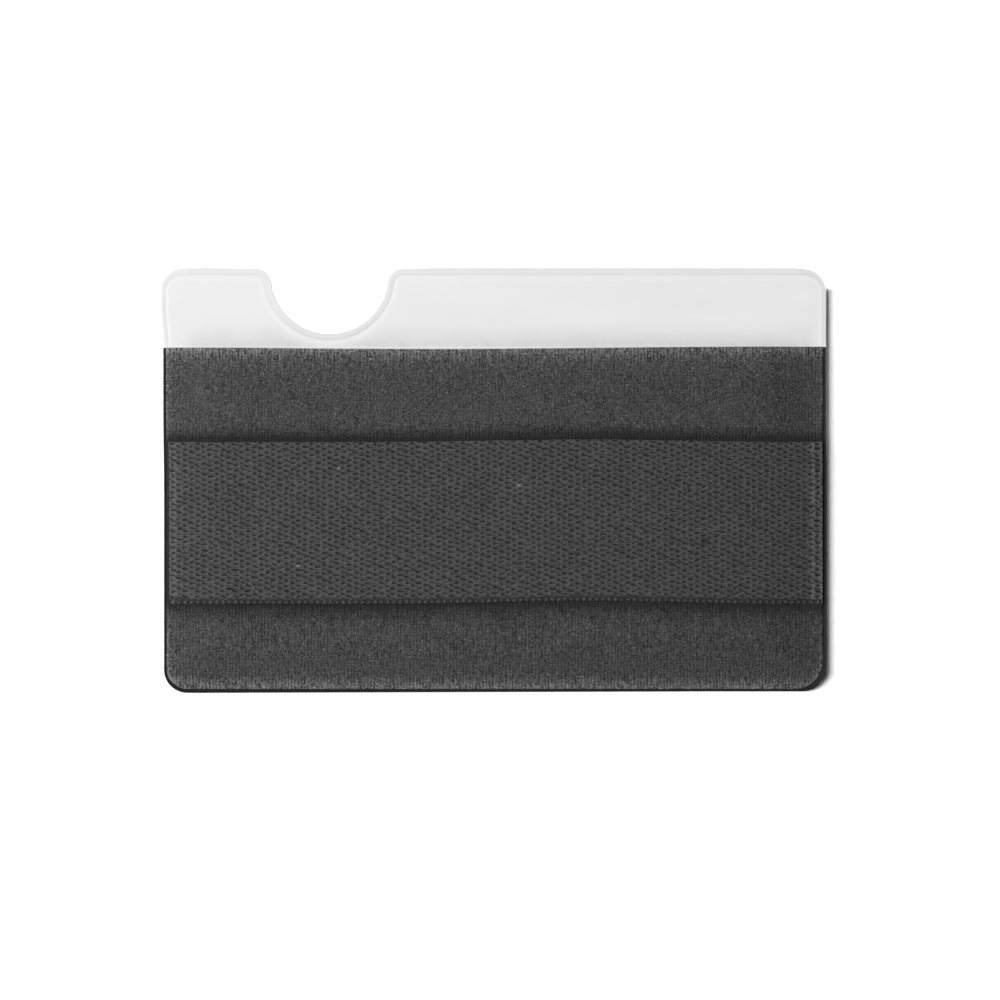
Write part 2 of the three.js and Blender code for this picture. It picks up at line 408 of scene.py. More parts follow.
def closed_sheet(
    name: str, over: Array, under: Array, steps: tuple[int, int], marks: dict[str, Array]
) -> bpy.types.Object:
    """Join a fine upper surface and a coarse underside into one closed sheet.

    Args:
        name: The piece's name.
        over: Points of the upper surface, by row, column and coordinate.
        under: Points of the underside on the same grid, of which only some are used.
        steps: Rows and columns of the upper surface to one of the underside.
        marks: Values for each point of the upper surface, by attribute name.

    Returns:
        The closed piece.
    """
    row_step, column_step = steps
    rows, columns = over.shape[:2]
    coarse = under[::row_step, ::column_step]
    low_rows, low_columns = coarse.shape[:2]
    top = np.arange(rows * columns).reshape(rows, columns)
    low = rows * columns + np.arange(low_rows * low_columns).reshape(low_rows, low_columns)
    faces = [
        grid_faces(rows, columns, 0, True),
        grid_faces(low_rows, low_columns, rows * columns, False),
        rim_faces(top[0], low[0], column_step),
        rim_faces(top[-1, ::-1], low[-1, ::-1], column_step),
        rim_faces(top[:, -1], low[:, -1], row_step),
        rim_faces(top[::-1, 0], low[::-1, 0], row_step),
    ]
    points = np.concatenate([over.reshape(-1, 3), coarse.reshape(-1, 3)])
    spread = {
        mark: np.concatenate([values.ravel(), values[::row_step, ::column_step].ravel()])
        for mark, values in marks.items()
    }
    return add_mesh(name, points, faces, spread)


# Shader nodes


class Wire:
    """A socket that takes part in sums, each of which adds its own Math node."""

    def __init__(self, bench: "Bench", socket: bpy.types.NodeSocket) -> None:
        """Keep the socket and the bench that its nodes are made on."""
        self.bench = bench
        self.socket = socket

    def _sum(self, operation: str, first: "Wire | float", second: "Wire | float") -> "Wire":
        """Add one Math node with two inputs."""
        return self.bench.node("ShaderNodeMath", {"operation": operation}, {0: first, 1: second})

    def __add__(self, other: "Wire | float") -> "Wire":
        """Sum of two values."""
        return self._sum("ADD", self, other)

    __radd__ = __add__

    def __sub__(self, other: "Wire | float") -> "Wire":
        """Difference of two values."""
        return self._sum("SUBTRACT", self, other)

    def __rsub__(self, other: float) -> "Wire":
        """Difference of a number and a value."""
        return self._sum("SUBTRACT", other, self)

    def __mul__(self, other: "Wire | float") -> "Wire":
        """Product of two values."""
        return self._sum("MULTIPLY", self, other)

    __rmul__ = __mul__

    def __truediv__(self, other: "Wire | float") -> "Wire":
        """Quotient of two values."""
        return self._sum("DIVIDE", self, other)

    def __pow__(self, other: float) -> "Wire":
        """Power of a value."""
        return self._sum("POWER", self, other)


class Bench:
    """Node tree of one material, with short ways to make its nodes."""

    def __init__(self, name: str) -> None:
        """Start an empty material.

        Args:
            name: The material's name.
        """
        self.material = bpy.data.materials.new(name)
        self.material.use_nodes = True
        self.tree = self.material.node_tree
        self.tree.nodes.clear()

    def node(
        self,
        kind: str,
        settings: dict[str, object] | None = None,
        inputs: dict[int | str, object] | None = None,
        output: int | str = 0,
    ) -> Wire:
        """Make any node.

        Args:
            kind: The node's type.
            settings: Its properties, which are set first.
            inputs: Values or wires for its sockets, by number or name.
            output: The socket that is given back.

        Returns:
            The node's output.
        """
        made = self.tree.nodes.new(kind)
        for key, value in (settings or {}).items():
            setattr(made, key, value)
        for key, value in (inputs or {}).items():
            if isinstance(value, Wire):
                self.tree.links.new(value.socket, made.inputs[key])
            else:
                made.inputs[key].default_value = value
        return Wire(self, made.outputs[output])

    def place(self) -> Wire:
        """Place on the object, in metres."""
        return self.node("ShaderNodeTexCoord", output="Object")

    def axes(self) -> tuple[Wire, Wire, Wire]:
        """The place's X, Y and Z."""
        split = self.node("ShaderNodeSeparateXYZ", inputs={0: self.place()})
        return tuple(Wire(self, socket) for socket in split.socket.node.outputs)

    def mark(self, name: str) -> Wire:
        """A value that the mesh carries at each vertex."""
        return self.node("ShaderNodeAttribute", {"attribute_name": name}, output="Fac")

    def scaled(self, scale: tuple[float, float, float]) -> Wire:
        """The place, stretched along each axis."""
        return self.node("ShaderNodeMapping", inputs={"Vector": self.place(), "Scale": scale})

    def noise(self, scale: tuple[float, float, float], detail: float = 2.0, roughness: float = 0.5) -> Wire:
        """Soft noise between 0 and 1, with so many waves to the metre along each axis."""
        return self.node(
            "ShaderNodeTexNoise",
            {"normalize": True},
            {"Vector": self.scaled(scale), "Scale": 1.0, "Detail": detail, "Roughness": roughness},
        )

    def cosine(self, value: Wire) -> Wire:
        """Cosine of a value in radians."""
        return self.node("ShaderNodeMath", {"operation": "COSINE"}, {0: value})

    def ramp(self, value: Wire, low: float, high: float, start: float = 0.0, end: float = 1.0) -> Wire:
        """Value carried from the range low to high over to start to end, smoothly, and held there."""
        return self._carried("SMOOTHSTEP", value, (low, high, start, end))

    def ramp_even(self, value: Wire, low: float, high: float, start: float = 0.0, end: float = 1.0) -> Wire:
        """Value carried evenly from the range low to high over to start to end, and held there."""
        return self._carried("LINEAR", value, (low, high, start, end))

    def _carried(self, way: str, value: Wire, ends: tuple[float, float, float, float]) -> Wire:
        """Value carried from the range of the first two ends over to that of the last two."""
        named = dict(zip(("From Min", "From Max", "To Min", "To Max"), ends))
        return self.node("ShaderNodeMapRange", {"interpolation_type": way}, {"Value": value, **named})

    def greys(self, value: Wire, dark: float, light: float) -> Wire:
        """Colour between two greys."""
        return self.mixed(value, (dark, dark, dark, 1.0), light)

    def mixed(self, value: Wire, first: Wire | tuple[float, ...], grey: float) -> Wire:
        """Colour between another colour and a grey."""
        inputs = {"Factor": value, 6: first, 7: (grey, grey, grey, 1.0)}
        return self.node("ShaderNodeMix", {"data_type": "RGBA"}, inputs, output=2)

    def lit(self, colour: Wire, strength: Wire) -> Wire:
        """Colour made lighter or darker by a factor."""
        return self.node("ShaderNodeVectorMath", {"operation": "SCALE"}, {0: colour, "Scale": strength})

    def across(self, x: Wire, form: HolderForm) -> Wire:
        """Cloth's factor along its length: painted light, a little lighter at the left than at the right."""
        low, high = form.plate
        return self.ramp_even(x, low.x, high.x, *CLOTH_PAINTED_FALLOFF)

    def bump(self, height: Wire, distance: float) -> Wire:
        """Normal that shows a height, whose value of 1 stands distance metres proud."""
        return self.node("ShaderNodeBump", inputs={"Height": height, "Distance": distance, "Strength": 1.0})

    def finish(self, constants: dict[str, object], wires: dict[str, Wire]) -> bpy.types.Material:
        """Close the material with one Principled shader.

        Args:
            constants: Values set on the shader's own sockets.
            wires: What changes over the surface.

        Returns:
            The finished material.
        """
        shader = self.node("ShaderNodeBsdfPrincipled", inputs={**constants, **wires})
        end = self.tree.nodes.new("ShaderNodeOutputMaterial")
        self.tree.links.new(shader.socket, end.inputs["Surface"])
        return self.material


# Finishes


@dataclass(frozen=True)
class MilkyPlastic:
    """Milky translucent moulding: satin; painted shade in its groove, at its notch and over the mouth, a
    painted highlight on its lip.
    """

    form: HolderForm
    face_grey: float = 0.700
    cloudiness: float = 0.015
    # Painted highlight on the lip, painted shade in the groove and round the notch
    lip_painted_highlight_grey: float = 0.730
    groove_painted_shade_grey: float = 0.635
    notch_painted_shade_grey: float = 0.585
    # Painted light just over the mouth
    mouth_painted_light: float = 1.05
    grain_height: float = 0.0015 * MM
    # Painted shade over the pocket's mouth, where the raised hem shades the plate
    shade_grey: float = 0.42
    shade_share: float = 0.42
    shade_reach: float = 4.8 * MM
    shade_wander: float = 2.0 * MM
    fringe_share: float = 1.1
    notch_clear: float = 3.2 * MM

    def build(self) -> bpy.types.Material:
        """Make the material: the face's grey, then the lip's painted highlight and the groove's and notch's
        painted shade by the mesh's mark, then the painted shade and painted light at the mouth.

        Returns:
            The material.
        """
        bench = Bench("milky_plastic")
        x, y, _ = bench.axes()
        relief = bench.mark("relief")
        cloud = bench.noise((60.0, 240.0, 60.0), 3.0)
        dark, light = self.face_grey * (1.0 - self.cloudiness), self.face_grey * (1.0 + self.cloudiness)
        colour = bench.greys(bench.ramp(cloud, 0.2, 0.8), dark, light)
        # Painted highlight on the lip and painted shade in the groove and at the notch, by the relief mark
        greys = ((0.0, 1.0, self.lip_painted_highlight_grey), (0.0, -1.0, self.groove_painted_shade_grey), (-1.0, -2.0, self.notch_painted_shade_grey))
        for start, full, grey in greys:
            colour = bench.mixed(bench.ramp_even(relief, start, full), colour, grey)
        # Painted shade over the mouth
        shaded = bench.mixed(self._shade(bench, x, y), colour, self.shade_grey)
        # Painted light just over the mouth's edge, lifting the shade there
        painted_mouth_light = bench.ramp(y - self.form.mouth_low, 0.75 * MM, 0.1 * MM, 1.0, self.mouth_painted_light)
        grain = bench.noise((9000.0, 9000.0, 9000.0), 2.0)
        return bench.finish(
            {
                "Subsurface Weight": 0.25,
                "Subsurface Radius": (1.0, 1.0, 1.0),
                "Subsurface Scale": 0.15 * MM,
                "IOR": 1.46,
            },
            {
                "Base Color": bench.lit(shaded, painted_mouth_light),
                "Roughness": bench.ramp(cloud, 0.2, 0.8, 0.34, 0.42),
                "Normal": bench.bump(grain, self.grain_height),
            },
        )

    def _shade(self, bench: Bench, x: Wire, y: Wire) -> Wire:
        """Share of painted shade: it falls from the mouth upwards to a ragged edge, with none at the notch.

        Args:
            bench: The material's bench.
            x: Place along X.
            y: Place along Y.

        Returns:
            The share, at most shade_share.
        """
        low, high = self.form.plate
        notch_x, notch_y = self.form.notch_centre
        radius = self.form.notch_radius
        over = y - self.form.mouth_low
        ragged = bench.noise((150.0, 500.0, 100.0), 3.0)
        fringe = bench.noise((1500.0, 500.0, 100.0), 2.0)
        near = bench.ramp(over, 1.3 * MM, 0.5 * MM) * bench.ramp(over, 0.1 * MM, 0.5 * MM)
        depth = bench.ramp(over + (ragged - 0.5) * self.shade_wander, self.shade_reach, 0.2 * MM) ** 1.6
        depth = depth * bench.ramp(over, 0.0, 0.6 * MM, 0.45, 1.0)
        depth = depth + near * (fringe - 0.42) * self.fringe_share
        away = ((x - notch_x) ** 2.0 + (y - notch_y) ** 2.0) ** 0.5
        clear = bench.ramp(away, radius + 0.6 * MM, radius + self.notch_clear)
        left = bench.ramp(x, low.x + 1.0 * MM, low.x + 6.0 * MM)
        right = bench.ramp(x, high.x - 0.8 * MM, high.x - 3.0 * MM)
        return depth * clear * left * right * self.shade_share


@dataclass(frozen=True)
class LiningCloth:
    """Dark lining cloth, near black, with painted light towards its right edge."""

    grey: float = 0.0075
    nap_height: float = 0.03 * MM
    # Painted light towards the right edge, lifting the shade beside the knit
    painted_light_from: float = 44.0 * MM
    painted_light_to: float = 46.5 * MM
    painted_light_gain: float = 2.2

    def build(self) -> bpy.types.Material:
        """Make the material.

        Returns:
            The material.
        """
        bench = Bench("lining_cloth")
        x, _, _ = bench.axes()
        nap = bench.noise((5000.0, 5000.0, 5000.0), 3.0)
        # Painted light: paler towards the right edge
        painted_light = bench.ramp_even(x, self.painted_light_from, self.painted_light_to, 1.0, self.painted_light_gain)
        return bench.finish(
            {"Specular IOR Level": 0.2},
            {
                "Base Color": bench.lit(bench.greys(nap, self.grey * 0.5, self.grey * 1.8), painted_light),
                "Roughness": bench.ramp(nap, 0.2, 0.8, 0.7, 0.95),
                "Normal": bench.bump(nap, self.nap_height),
            },
        )


@dataclass(frozen=True)
class StretchKnit:
    """Fine ribbed stretch knit: speckled yarn with painted glints, and wales that show most along its edges.
    """

    form: HolderForm
    wale_pitch: float
    course_pitch: float = 0.385 * MM
    dark: float = 0.005
    light: float = 0.071
    wale_sway: float = 0.5 * MM
    course_sway: float = 0.9 * MM
    stroke_share: float = 2.4
    speck_share: float = 2.3
    patch_share: float = 0.15
    course_share: float = 0.06
    wale_share: float = 0.16
    hair_share: float = 2.3
    # Painted glints: sparse bright specks
    painted_glint_grey: float = 0.22
    painted_glint_share: float = 0.7
    yarn_height: float = 0.025 * MM

    def build(self) -> bpy.types.Material:
        """Make the material: strokes and specks all over, painted glints, wales and hairs where the mesh
        marks ribbing, and painted light and shade by the light mark.

        Returns:
            The material.
        """
        bench = Bench("stretch_knit")
        x, y, _ = bench.axes()
        sway = bench.noise((700.0, 220.0, 100.0), 2.0) - 0.5
        wale = bench.cosine((x + sway * self.wale_sway) * (math.tau / self.wale_pitch))
        course = bench.cosine((y + sway * self.course_sway) * (math.tau / self.course_pitch))
        strokes = bench.noise((3700.0, 3400.0, 900.0), 2.0, 0.6)
        specks = bench.noise((2800.0, 3600.0, 900.0), 3.0, 0.65)
        sparks = bench.noise((4600.0, 4000.0, 900.0), 1.0, 0.5)
        hairs = bench.noise((3400.0, 900.0, 900.0), 2.0, 0.5)
        patches = bench.noise((260.0, 300.0, 100.0), 2.0)
        yarn = (strokes - 0.5) * self.stroke_share + (specks - 0.5) * self.speck_share
        yarn = yarn + (patches - 0.5) * self.patch_share + course * self.course_share
        ribs = (wale * self.wale_share + (hairs - 0.5) * self.hair_share) * bench.mark("ribbing")
        height = yarn + ribs
        tone = bench.ramp(height, -0.85, 0.85)
        # Painted glints on the yarn
        painted_glint = bench.ramp(sparks + (specks - 0.5) * 0.5, 0.64, 0.82) * self.painted_glint_share
        base = bench.mixed(painted_glint, bench.greys(tone, self.dark, self.light), self.painted_glint_grey)
        return bench.finish(
            {"Sheen Weight": 0.08, "Sheen Roughness": 0.35, "Specular IOR Level": 0.3},
            {
                # Painted light and shade from the mesh's light mark, and the painted falloff from the left
                "Base Color": bench.lit(base, bench.mark("light") * bench.across(x, self.form)),
                "Roughness": bench.ramp(strokes, 0.2, 0.8, 0.65, 0.9),
                "Normal": bench.bump(height, self.yarn_height),
            },
        )


@dataclass(frozen=True)
class WeavePattern:
    """How deep the band's hollows are, in step for its mesh and its finish."""

    channel_power: float = 1.15
    crossing_power: float = 1.5
    channel_share: float = 0.36
    crossing_share: float = 0.68

    def depth(self, channel: Array | Wire, crossing: Array | Wire) -> Array | Wire:
        """Channel to its power, times its share plus the crossing's share of the crossing to its power."""
        meeting = crossing**self.crossing_power * self.crossing_share + self.channel_share
        return channel**self.channel_power * meeting


@dataclass(frozen=True)
class WovenElastic:
    """Woven elastic webbing: painted shade in the hollows between floats of yarn, painted highlights on
    floats and turns.
    """

    form: HolderForm
    pattern: WeavePattern
    dark: float = 0.008
    light: float = 0.068
    # Painted highlights on the turns and floats
    turn_level: float = 0.76
    turn_width: float = 0.16
    turn_painted_highlight: float = 0.62
    turn_painted_side: float = 0.34
    float_painted_highlight: float = 0.52
    fibre_share: float = 2.3
    patch_share: float = 0.4
    fibre_height: float = 0.04 * MM

    def build(self) -> bpy.types.Material:
        """Make the material: painted shade in the hollows, painted highlights on the floats, lightest on the
        turn of yarn below each hollow.

        A turn's painted highlight is a bell of the relief around turn_level, stronger on a hollow's lower
        side.

        Returns:
            The material.
        """
        bench = Bench("woven_elastic")
        x, _, _ = bench.axes()
        row, half_column = bench.mark("row"), bench.mark("column") * 0.5
        channel = bench.cosine((row + half_column) * math.tau) * 0.5 + 0.5
        crossing = bench.cosine((row - half_column) * math.tau) * 0.5 + 0.5
        above = bench.cosine((row + half_column) * math.tau - math.pi / 2)
        deep = self.pattern.depth(channel, crossing) * bench.mark("vary")
        relief = bench.ramp_even(1.0 - deep, 0.0, 1.0)
        nearness = (self.turn_level - relief) / self.turn_width
        turns = bench.node("ShaderNodeMath", {"operation": "EXPONENT"}, {0: nearness * nearness * -1.0})
        # Painted highlights on floats and turns, painted shade in the hollows
        weave = relief**1.6 * self.float_painted_highlight + turns * (self.turn_painted_highlight - above * self.turn_painted_side)
        weave = weave * (1.0 - bench.mark("edging"))
        fibres = bench.noise((2600.0, 4600.0, 900.0), 2.0, 0.6)
        patches = bench.noise((420.0, 600.0, 100.0), 2.0)
        # Painted highlight on the lower edge's loops, painted shade in the row beside them
        height = weave + bench.mark("loops")
        height = height + (fibres - 0.5) * self.fibre_share + (patches - 0.5) * self.patch_share
        base = bench.greys(bench.ramp(height, -0.05, 1.15), self.dark, self.light)
        return bench.finish(
            {"Sheen Weight": 0.08, "Sheen Roughness": 0.4, "Specular IOR Level": 0.3},
            {
                # Painted light at the band's ends and upper edge with lint flecks, and the painted falloff
                # from the left
                "Base Color": bench.lit(base, bench.mark("light") * bench.across(x, self.form)),
                "Roughness": bench.ramp(fibres, 0.2, 0.8, 0.65, 0.9),
                "Normal": bench.bump(fibres, self.fibre_height),
            },
        )


@dataclass(frozen=True)
class StickyFilm:
    """Clear adhesive film with a faint haze."""

    def build(self) -> bpy.types.Material:
        """Make the material.

        Returns:
            The material.
        """
        bench = Bench("sticky_film")
        haze = bench.noise((700.0, 700.0, 700.0), 3.0)
        return bench.finish(
            {"IOR": 1.47},
            {
                "Base Color": bench.greys(haze, 0.52, 0.62),
                "Roughness": bench.ramp(haze, 0.2, 0.8, 0.3, 0.5),
                "Normal": bench.bump(haze, 0.02 * MM),
            },
        )


@dataclass(frozen=True)
class LinerPaper:
    """White coated paper with fine fibres."""

    def build(self) -> bpy.types.Material:
        """Make the material.

        Returns:
            The material.
        """
        bench = Bench("liner_paper")
        fibres = bench.noise((2500.0, 900.0, 900.0), 4.0, 0.65)
        return bench.finish(
            {"IOR": 1.45},
            {
                "Base Color": bench.greys(fibres, 0.74, 0.82),
                "Roughness": bench.ramp(fibres, 0.2, 0.8, 0.42, 0.6),
                "Normal": bench.bump(fibres, 0.008 * MM),
            },
        )


@dataclass(frozen=True)
class StudioPaper:
    """Pale seamless floor."""

    def build(self) -> bpy.types.Material:
        """Make the material.

        Returns:
            The material.
        """
        bench = Bench("studio_paper")
        tooth = bench.noise((900.0, 900.0, 900.0), 2.0)
        return bench.finish(
            {"Specular IOR Level": 0.2},
            {
                "Base Color": bench.greys(tooth, 0.93, 0.95),
                "Roughness": bench.ramp(tooth, 0.2, 0.8, 0.8, 0.9),
            },
        )


# Sub-assemblies


@dataclass
class BackPlate:
    """The moulded plate: rounded edges, and a rim with a groove inside it round the tab and the notch."""

    form: HolderForm
    edge_radius: float = 0.06 * MM
    rim_height: float = 0.006 * MM
    groove_depth: float = 0.006 * MM
    lip_height: float = 0.006 * MM
    # Painted shade in the rim and groove: less at the left, towards the light, more at the right
    painted_shade_side_from: float = 43.0 * MM
    painted_shade_at_left: float = -0.45
    painted_shade_at_right: float = 0.9
    face_inset: float = 2.0 * MM
    inset_less_left: float = 0.25
    inset_less_right: float = 0.42
    flare: float = 0.4 * MM
    spread: float = 0.06 * MM
    arc_steps: int = 24
    side_step: float = 0.8 * MM

    def build(self) -> bpy.types.Object:
        """Build and dress the plate, and let it stand for its solid.

        Returns:
            The finished piece.
        """
        profile = self._profile()
        rings = [self._ring(inset, level, tab_level) for inset, level, tab_level, _ in profile]
        points = np.concatenate(rings)
        count = len(rings[0])
        number = np.arange(len(points)).reshape(len(rings), count)
        here, ahead = number[:-1], np.roll(number[:-1], -1, axis=1)
        above, above_ahead = number[1:], np.roll(number[1:], -1, axis=1)
        walls = np.stack([here.ravel(), ahead.ravel(), above_ahead.ravel(), above.ravel()], axis=1)
        faces = [walls, number[0][::-1][None, :], number[-1][None, :]]
        marks = np.repeat([mark for _, _, _, mark in profile], count)
        # Relief mark for painted shade in the rim and groove, more at the right and at the notch, and a
        # painted highlight on the lip
        by_side = np.where(points[:, 0] < 0.0, self.painted_shade_at_left, self.painted_shade_at_right)
        side = smooth((np.abs(points[:, 0]) - self.painted_shade_side_from) / (1.0 * MM)) * by_side
        darker = marks * (1.0 + side + self._by_notch(points))
        relief = self._tab(points) * np.where(marks < 0.0, darker, marks)
        piece = add_mesh("plate_moulding", points, faces, {"relief": relief})
        piece.data.materials.append(MilkyPlastic(self.form).build())
        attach(piece, "root")
        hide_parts("back_plate")
        return piece

    def _profile(self) -> list[tuple[float, float, float, float]]:
        """The plate's section, ring by ring, from the underside up and inwards.

        Returns:
            Inset, level, extra level in the tab and relief mark of each ring, which sets the painted shade
            and highlight.
        """
        low, face, edge = self.form.plate[0].z, self.form.plate_top, self.edge_radius
        rim = (self.rim_height, -0.35)
        turns = [(1.0 - math.sin(a), 1.0 - math.cos(a)) for a in np.linspace(0.0, math.pi / 2, 5)]
        lower = [(edge * inset, low + edge * rise, 0.0, 0.0) for inset, rise in turns]
        upper = [(edge * inset, face - edge * rise, *rim) for inset, rise in reversed(turns)]
        inner = [
            (0.25 * MM, face, *rim),
            (0.50 * MM, face, *rim),
            (0.64 * MM, face, self.rim_height * 0.8, -0.5),
            (0.76 * MM, face, self.rim_height * 0.3, -0.9),
            (0.86 * MM, face, -self.groove_depth * 0.6, -1.0),
            (0.96 * MM, face, -self.groove_depth, -0.6),
            (1.08 * MM, face, -self.groove_depth * 0.5, 0.1),
            (1.20 * MM, face, self.lip_height * 0.4, 0.7),
            (1.34 * MM, face, self.lip_height, 1.0),
            (1.56 * MM, face, self.lip_height * 0.7, 0.7),
            (1.80 * MM, face, self.lip_height * 0.3, 0.25),
            (self.face_inset, face, 0.0, 0.0),
        ]
        return lower + upper + inner

    def _tab(self, points: Array) -> Array:
        """1 in the open tab and 0 under the lining."""
        start = self.form.front[1].y
        return smooth((points[:, 1] - start - 0.1 * MM) / (0.2 * MM))

    def _by_notch(self, points: Array) -> Array:
        """1 on the notch's rim, where the painted shade deepens, with a smooth fall away from its circle and
        another near its shoulders.

        Args:
            points: Points by row, of which X and Y are read.

        Returns:
            The value at each point.
        """
        x, y = self.form.notch_centre
        away = np.hypot(points[:, 0] - x, points[:, 1] - y) - self.form.notch_radius
        beside = 1.0 - smooth((away - 1.4 * MM) / (0.4 * MM))
        return beside * smooth((24.5 * MM - points[:, 1]) / (3.0 * MM))

    def _ring(self, inset: float, level: float, tab_level: float) -> Array:
        """The outline drawn in by inset, at a level that rises by tab_level in the tab.

        Args:
            inset: How far the outline is drawn in.
            level: Level of the ring.
            tab_level: What the level rises by in the tab.

        Returns:
            The ring's points by row.
        """
        flat = self._outline(inset)
        ring = np.column_stack([flat, np.full(len(flat), level)])
        ring[:, 2] += tab_level * self._tab(ring)
        return ring

    def _outline(self, inset: float) -> Array:
        """The plate's outline with its notch, drawn in all round: circles joined by straight stretches.

        The notch's circle meets each shoulder's circle where the line between their centres crosses both.
        Smooth steps along X and Y then flare the upper left side, draw the rings in less at both ends, and
        lean and droop the whole.

        Args:
            inset: How far the outline is drawn in.

        Returns:
            The outline's points by row, against the clock.
        """
        form = self.form
        low, high = form.plate
        corner = form.corner_radius - inset
        right, upper = high.x - form.corner_radius, high.y - form.corner_radius
        left, lower = low.x + form.corner_radius, low.y + form.corner_radius
        notch_x, notch_y = form.notch_centre
        shoulder_y = high.y - form.shoulder_radius
        climb = shoulder_y - notch_y
        aside = math.sqrt((form.notch_radius + form.shoulder_radius) ** 2 - climb**2)
        turn = math.atan2(climb, aside)
        shoulder, notch = form.shoulder_radius - inset, form.notch_radius + inset
        quarter = math.pi / 2
        arcs = [
            self._arc(right, lower, corner, -quarter, 0.0),
            self._arc(right, upper, corner, 0.0, quarter),
            self._arc(notch_x + aside, shoulder_y, shoulder, quarter, math.pi + turn),
            self._arc(notch_x, notch_y, notch, turn, -math.pi - turn, 3),
            self._arc(notch_x - aside, shoulder_y, shoulder, -turn, quarter),
            self._arc(left, upper, corner, quarter, math.pi),
            self._arc(left, lower, corner, math.pi, 3 * quarter),
        ]
        spans = [right - left, upper - lower, right - notch_x, 0.0, 0.0, notch_x - left, upper - lower]
        stretches = []
        for index, (arc, span) in enumerate(zip(arcs, spans)):
            start = arcs[index - 1][-1]
            steps = max(int(round(span / self.side_step)), 1)
            part = np.linspace(0.0, 1.0, steps + 1)[1:-1, None]
            stretches.append(start + (arc[0] - start) * part)
            stretches.append(arc if span else arc[1:])
        outline = np.concatenate(stretches)
        rise = smooth((outline[:, 1] - form.front[1].y) / (6.0 * MM))
        by_left = smooth((low.x + 6.0 * MM - outline[:, 0]) / (4.5 * MM))
        by_right = smooth((outline[:, 0] - high.x + 6.0 * MM) / (4.5 * MM))
        outline[:, 0] -= self.flare * rise * smooth((-30.0 * MM - outline[:, 0]) / (10.0 * MM))
        less = inset * (self.inset_less_right * by_right - self.inset_less_left * by_left)
        outline[:, 0] += less + self.spread * by_right
        outline[:, 0] += form.lean_at(outline[:, 0], outline[:, 1])
        outline[:, 1] -= form.droop_at(outline[:, 0], outline[:, 1])
        return outline

    def _arc(self, x: float, y: float, radius: float, start: float, end: float, finer: int = 1) -> Array:
        """Points round a circle from one angle to another."""
        angles = np.linspace(start, end, self.arc_steps * finer + 1)
        return np.column_stack([x + radius * np.cos(angles), y + radius * np.sin(angles)])


@dataclass
class PocketBack:
    """The lining: a thin dark sheet as wide as the plate, with a pressed, softened edge."""

    form: HolderForm
    edge_radius: float = 0.14 * MM
    edge_sink: float = 0.45
    face_sink: float = 0.02 * MM
    seam_level: float = 0.3
    nap_height: float = 0.012 * MM
    nap_most: float = 0.015 * MM
    nap_wave: float = 1.1 * MM
    hem_cover: float = 0.03 * MM
    lap: float = 0.16 * MM
    lap_drop: float = 0.35 * MM
    rows: int = 120
    columns: int = 240
    crowding: float = 0.14

    def build(self) -> bpy.types.Object:
        """Build and dress the lining, and let it stand for its solid.

        Returns:
            The finished piece.
        """
        low, high = self.form.lining
        x = low.x + (high.x - low.x) * self._crowded(self.columns)[None, :] + np.zeros((self.rows + 1, 1))
        up = self._crowded(self.rows)
        lower = self._lower_at(x)
        y = lower + (self._upper_at(x) - lower) * up[:, None]
        edge = self._from_edge(x, y)
        thick = high.z - low.z
        crown = 1.0 - self.edge_sink * (1.0 - rounded(edge, self.edge_radius))
        nap = self.nap_height * ripples(x, y, self.nap_wave, 11) * smooth(edge / (0.6 * MM))
        top = low.z + thick * crown - self.face_sink + np.minimum(nap, self.nap_most)
        seam = edge <= NOTHING
        top = np.where(seam, low.z + self.seam_level * thick, top)
        bottom = low.z + np.where(seam, self.seam_level * thick, 0.0)
        lap = self.lap * smooth((x - high.x + 0.8 * MM) / (0.8 * MM)) * smooth((8.0 * MM - y) / (8.0 * MM))
        leant = x + self.form.lean_at(x, y) + lap
        past = smooth((leant - high.x) / self.lap) * self.lap_drop
        level = y - self.form.droop_at(x, y)
        over = np.stack([leant, level, top - past], axis=-1)
        under = np.stack([leant, level, bottom - past], axis=-1)
        piece = closed_sheet("lining_sheet", over, under, (2, 2), {})
        piece.data.materials.append(LiningCloth().build())
        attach(piece, "root")
        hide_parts("pocket_back")
        return piece

    def _crowded(self, steps: int) -> Array:
        """Shares from 0 to 1, close together at both ends: t less a share of the sine of one turn of t."""
        even = np.linspace(0.0, 1.0, steps + 1)
        return even - self.crowding * np.sin(math.tau * even)

    def _lower_at(self, x: Array) -> Array:
        """Lower edge, turning up on a circle round each corner.

        Args:
            x: Places along X.

        Returns:
            The edge's height at each of them.
        """
        low, high = self.form.lining
        radius = self.form.corner_radius
        into = np.clip(np.maximum(low.x + radius - x, x - high.x + radius), 0.0, radius)
        return low.y + radius - np.sqrt(radius**2 - into**2)

    def _upper_at(self, x: Array) -> Array:
        """Upper edge at x, just under the hem."""
        return self.form.mouth_at(x) - self.hem_cover

    def _from_edge(self, x: Array, y: Array) -> Array:
        """Distance to the nearest edge, measured radially inside the two lower corners.

        Args:
            x: Places along X.
            y: Places along Y.

        Returns:
            The distance from each place.
        """
        low, high = self.form.lining
        radius = self.form.corner_radius
        side = np.minimum(x - low.x, high.x - x)
        lower = y - low.y
        corner = radius - np.hypot(radius - side, radius - lower)
        inside = np.where((side < radius) & (lower < radius), corner, np.minimum(side, lower))
        return np.clip(np.minimum(inside, self._upper_at(x) - y), 0.0, None)


